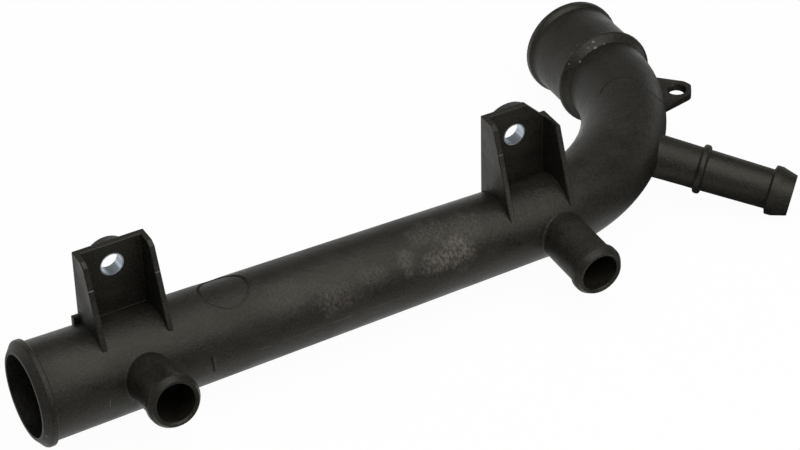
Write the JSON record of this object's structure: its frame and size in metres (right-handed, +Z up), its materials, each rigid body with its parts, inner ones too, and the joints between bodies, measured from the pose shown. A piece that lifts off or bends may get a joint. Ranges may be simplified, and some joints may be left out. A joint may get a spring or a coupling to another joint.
{
  "type": "coolant pipe",
  "caption": "Moulded coolant pipe with a beaded hose mouth, an elbow to a collared spigot, small hose nipples and two bolt ears with steel bushes.",
  "frame": {"origin": "centre of the left mouth's end face", "axes": "+X along the main tube towards the elbow, +Y the way the ears' bosses face and the spigot points, +Z up along the bolt ears"},
  "size_m": [0.3225, 0.1461, 0.0694],
  "materials": {
    "black_nylon": "black glass-filled nylon, semi-matt as moulded",
    "plated_steel": "bright zinc plating with a bluish cast"
  },
  "bodies": {
    "root": {"pipe_body": "black_nylon", "left_bush": "plated_steel", "right_bush": "plated_steel"}
  },
  "joints": []
}
